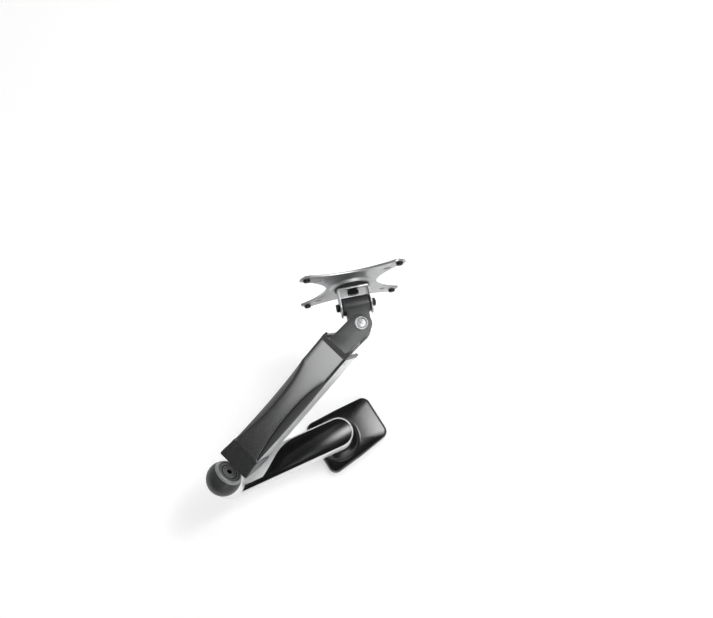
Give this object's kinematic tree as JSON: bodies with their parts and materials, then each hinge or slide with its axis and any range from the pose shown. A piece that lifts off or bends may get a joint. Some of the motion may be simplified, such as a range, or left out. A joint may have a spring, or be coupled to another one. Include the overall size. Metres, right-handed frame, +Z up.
{
  "type": "monitor arm",
  "caption": "Desk monitor arm with a surface base, a fixed-height link, a spring-lifted link and a tilting, turning screen plate.",
  "frame": {"origin": "on the desk surface, under the axis of the base swivel", "axes": "+Z up; +X along the base towards its wide end; -Y is the side the screen faces"},
  "size_m": [0.3048, 0.1765, 0.3025],
  "materials": {
    "black_gloss": "high gloss black, slightly reflective",
    "black_matte": "fine matte black",
    "graphite": "satin dark graphite",
    "polished": "polished die cast",
    "satin": "satin, shading from light at the head to dark at the elbow",
    "grey_cast": "satin dark grey paint on a casting",
    "steel": "bright zinc plated",
    "black_steel": "black oxide",
    "zinc": "satin light grey, as cast and tumbled",
    "bush": "natural acetal"
  },
  "bodies": {
    "base": {"mounting_plate": "black_steel", "base_cover": "black_gloss", "swivel_column": "steel", "base_thrust_washer": "bush", "column_screw": "black_steel", "base_screw_1": "steel", "base_screw_2": "steel", "base_screw_3": "steel", "base_screw_4": "steel"},
    "lower_link": {"lower_arm_body": "polished", "lower_arm_inlay": "black_gloss", "base_bush_lower": "bush", "base_bush_upper": "bush", "elbow_shaft": "steel", "elbow_thrust_washer": "bush", "elbow_retaining_washer": "steel", "elbow_lock_nut": "steel"},
    "elbow": {"elbow_housing": "polished", "elbow_cap": "graphite", "adjuster_ring": "zinc", "elbow_bush_lower": "bush", "elbow_bush_upper": "bush", "spring_pin_elbow": "steel"},
    "tension_screw": {"tension_screw": "zinc"},
    "upper_link": {"upper_arm_casing": "polished", "top_panel": "satin", "shoulder_inlay_left": "black_gloss", "shoulder_inlay_right": "black_gloss", "elbow_end_cap": "graphite", "head_collar": "grey_cast", "lift_pin_elbow": "steel", "lift_pin_head": "steel", "spring_pin_casing": "steel"},
    "strut": {"lower_strut": "black_matte", "strut_pin_elbow": "steel", "strut_pin_head": "steel"},
    "spring_cylinder": {"gas_spring_cylinder": "black_matte"},
    "spring_rod": {"gas_spring_rod": "steel"},
    "head": {"head_bracket": "grey_cast", "pan_pin": "steel", "pan_washer_upper": "black_matte", "pan_washer_lower": "black_matte"},
    "knuckle": {"tilt_knuckle": "grey_cast"},
    "tilt": {"tilt_bracket": "steel", "tilt_bolt": "black_steel", "tilt_nut": "black_steel", "tilt_washer_left": "black_matte", "tilt_washer_right": "black_matte", "turn_friction_ring": "black_matte", "turn_bolt": "black_steel", "turn_nut": "black_steel"},
    "screen_mount": {"screw_plate": "steel", "screen_screw_1": "black_steel", "screen_screw_2": "black_steel", "screen_screw_3": "black_steel", "screen_screw_4": "black_steel"}
  },
  "joints": [
    {"name": "base_swivel", "type": "hinge", "parent": "base", "child": "lower_link", "pos_m": [0, 0, 0], "axis": [0, 0, 1], "range_deg": [-180, 180]},
    {"name": "elbow_swivel", "type": "hinge", "parent": "lower_link", "child": "elbow", "pos_m": [0.14425, -0.01976, 0], "axis": [0, 0, 1], "range_deg": [-21, 339]},
    {"name": "lift", "type": "hinge", "parent": "elbow", "child": "upper_link", "pos_m": [0.10857, -0.02833, 0.1705], "axis": [-0.2334, 0.9724, 0], "range_deg": [-45, 8]},
    {"name": "strut_pivot", "type": "hinge", "parent": "elbow", "child": "strut", "pos_m": [0.10857, -0.02833, 0.1385], "axis": [-0.2334, 0.9724, 0], "range_deg": [-46, 9]},
    {"name": "head_level", "type": "hinge", "parent": "upper_link", "child": "head", "pos_m": [-0.02585, -0.0606, 0.25688], "axis": [-0.2334, 0.9724, 0], "range_deg": [-9, 46]},
    {"name": "spring_pivot", "type": "hinge", "parent": "upper_link", "child": "spring_cylinder", "pos_m": [0.00487, -0.05322, 0.23006], "axis": [-0.2334, 0.9724, 0], "range_deg": [-1, 3]},
    {"name": "spring_stroke", "type": "slide", "parent": "spring_cylinder", "child": "spring_rod", "axis": [0.7846, 0.1884, -0.5907], "range_m": [-0.015, 0.004]},
    {"name": "tension_turn", "type": "hinge", "parent": "elbow", "child": "tension_screw", "pos_m": [0.13391, -0.02224, 0.16031], "axis": [-0.7662, -0.184, 0.6157], "range_deg": [-1080, 1080]},
    {"name": "pan", "type": "hinge", "parent": "head", "child": "knuckle", "pos_m": [-0.06873, -0.07089, 0.245], "axis": [0, 0, 1], "range_deg": [-136, 24]},
    {"name": "tilt", "type": "hinge", "parent": "knuckle", "child": "tilt", "pos_m": [-0.07748, -0.09431, 0.245], "axis": [0.9367, -0.3502, 0], "range_deg": [-60, 40]},
    {"name": "turn", "type": "hinge", "parent": "tilt", "child": "screen_mount", "pos_m": [-0.08659, -0.11866, 0.245], "axis": [-0.3502, -0.9367, 0], "continuous": true}
  ],
  "couplings": [
    {"joint": "strut_pivot", "follows": "lift", "ratio": 1},
    {"joint": "head_level", "follows": "lift", "ratio": -1},
    {"joint": "spring_pivot", "follows": "lift", "ratio": -0.046},
    {"joint": "spring_stroke", "follows": "lift", "m_per_rad": 0.017189}
  ]
}
